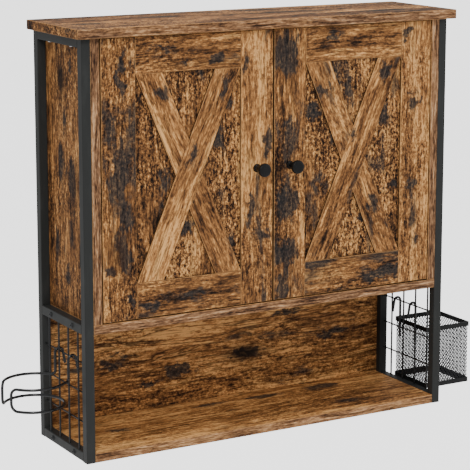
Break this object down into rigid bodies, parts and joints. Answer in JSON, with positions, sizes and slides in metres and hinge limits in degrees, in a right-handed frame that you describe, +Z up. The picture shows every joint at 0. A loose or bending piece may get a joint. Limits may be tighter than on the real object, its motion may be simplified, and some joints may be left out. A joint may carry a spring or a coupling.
{
  "type": "hanging wall cabinet",
  "caption": "Wall cabinet with black square-tube side frames, crossed-brace wooden doors, an open shelf below, a mesh basket on one wire grid and a dryer holder on the other.",
  "frame": {"origin": "on the wall plane, at the middle of the cabinet's bottom edge", "axes": "+X to the right seen from the front, +Y into the wall, +Z up"},
  "size_m": [0.8725, 0.206, 0.685],
  "materials": {
    "frame_steel_upright": "satin black powder coat",
    "frame_steel_cross": "satin black powder coat",
    "grid_wire": "satin black powder coat",
    "wood_top": "rustic brown printed laminate, grain along the length",
    "wood_level": "rustic brown printed laminate, grain along the length",
    "wood_side": "rustic brown printed laminate, upright grain",
    "wood_back_upper": "rustic brown printed laminate",
    "wood_back_lower": "rustic brown printed laminate, grain along the length",
    "wood_door_base": "rustic brown printed laminate, upright grain",
    "wood_stile": "rustic brown printed laminate, upright grain",
    "wood_rail": "rustic brown printed laminate, level grain",
    "wood_brace_long": "rustic brown printed laminate, grain along the brace",
    "wood_brace_half": "rustic brown printed laminate, grain along the brace",
    "knob_black": "satin black",
    "zinc_steel": "bright zinc plating",
    "screw_black": "black oxide",
    "bush_plastic": "moulded nylon",
    "catch_plastic": "moulded dark brown",
    "cap_plastic": "moulded black",
    "dowel_beech": "plain beech",
    "basket_black": "satin black powder coat",
    "basket_mesh": "expanded metal mesh, dark grey-black coat",
    "hook_wire": "satin black powder coat",
    "holder_wire": "satin black powder coat"
  },
  "bodies": {
    "cabinet": {"back_panel_screws": "zinc_steel", "bottom_shelf": "wood_level", "bottom_tube_left": "frame_steel_cross", "bottom_tube_right": "frame_steel_cross", "bracket_screws": "zinc_steel", "cabinet_floor": "wood_level", "door_pivot_pins": "zinc_steel", "frame_side_screws": "screw_black", "frame_top_screws": "zinc_steel", "front_post_left": "frame_steel_upright", "front_post_right": "frame_steel_upright", "inner_shelf": "wood_level", "lower_back_panel": "wood_back_lower", "magnetic_catch": "catch_plastic", "middle_tube_left": "frame_steel_cross", "middle_tube_right": "frame_steel_cross", "panel_dowels": "dowel_beech", "post_end_caps": "cap_plastic", "rear_post_left": "frame_steel_upright", "rear_post_right": "frame_steel_upright", "shelf_pins": "zinc_steel", "side_panel_left": "wood_side", "side_panel_right": "wood_side", "top_board": "wood_top", "top_tube_left": "frame_steel_cross", "top_tube_right": "frame_steel_cross", "upper_back_panel": "wood_back_upper", "wall_brackets": "zinc_steel", "wire_grid_left": "grid_wire", "wire_grid_right": "grid_wire"},
    "door_left": {"door_left_brace_long": "wood_brace_long", "door_left_brace_lower": "wood_brace_half", "door_left_brace_upper": "wood_brace_half", "door_left_knob": "knob_black", "door_left_knob_screw": "zinc_steel", "door_left_panel": "wood_door_base", "door_left_pivot_bushes": "bush_plastic", "door_left_rail_bottom": "wood_rail", "door_left_rail_top": "wood_rail", "door_left_stile_inner": "wood_stile", "door_left_stile_outer": "wood_stile", "door_left_striker": "zinc_steel"},
    "door_right": {"door_right_brace_long": "wood_brace_long", "door_right_brace_lower": "wood_brace_half", "door_right_brace_upper": "wood_brace_half", "door_right_knob": "knob_black", "door_right_knob_screw": "zinc_steel", "door_right_panel": "wood_door_base", "door_right_pivot_bushes": "bush_plastic", "door_right_rail_bottom": "wood_rail", "door_right_rail_top": "wood_rail", "door_right_stile_inner": "wood_stile", "door_right_stile_outer": "wood_stile", "door_right_striker": "zinc_steel"},
    "basket": {"basket_base_frame": "basket_black", "basket_hooks": "hook_wire", "basket_mesh_floor": "basket_mesh", "basket_mesh_walls": "basket_mesh", "basket_top_rim": "basket_black"},
    "dryer_holder": {"dryer_holder_wire": "holder_wire"}
  },
  "joints": [
    {"name": "door_left_hinge", "type": "hinge", "parent": "cabinet", "child": "door_left", "pos_m": [-0.292, -0.1705, 0.446], "axis": [0, 0, -1], "range_deg": [0, 110]},
    {"name": "door_right_hinge", "type": "hinge", "parent": "cabinet", "child": "door_right", "pos_m": [0.292, -0.1705, 0.446], "axis": [0, 0, 1], "range_deg": [0, 110]},
    {"name": "basket_lift", "type": "slide", "parent": "cabinet", "child": "basket", "axis": [0, 0, 1], "range_m": [0, 0.035]},
    {"name": "dryer_holder_lift", "type": "slide", "parent": "cabinet", "child": "dryer_holder", "axis": [0, 0, 1], "range_m": [0, 0.035]}
  ]
}
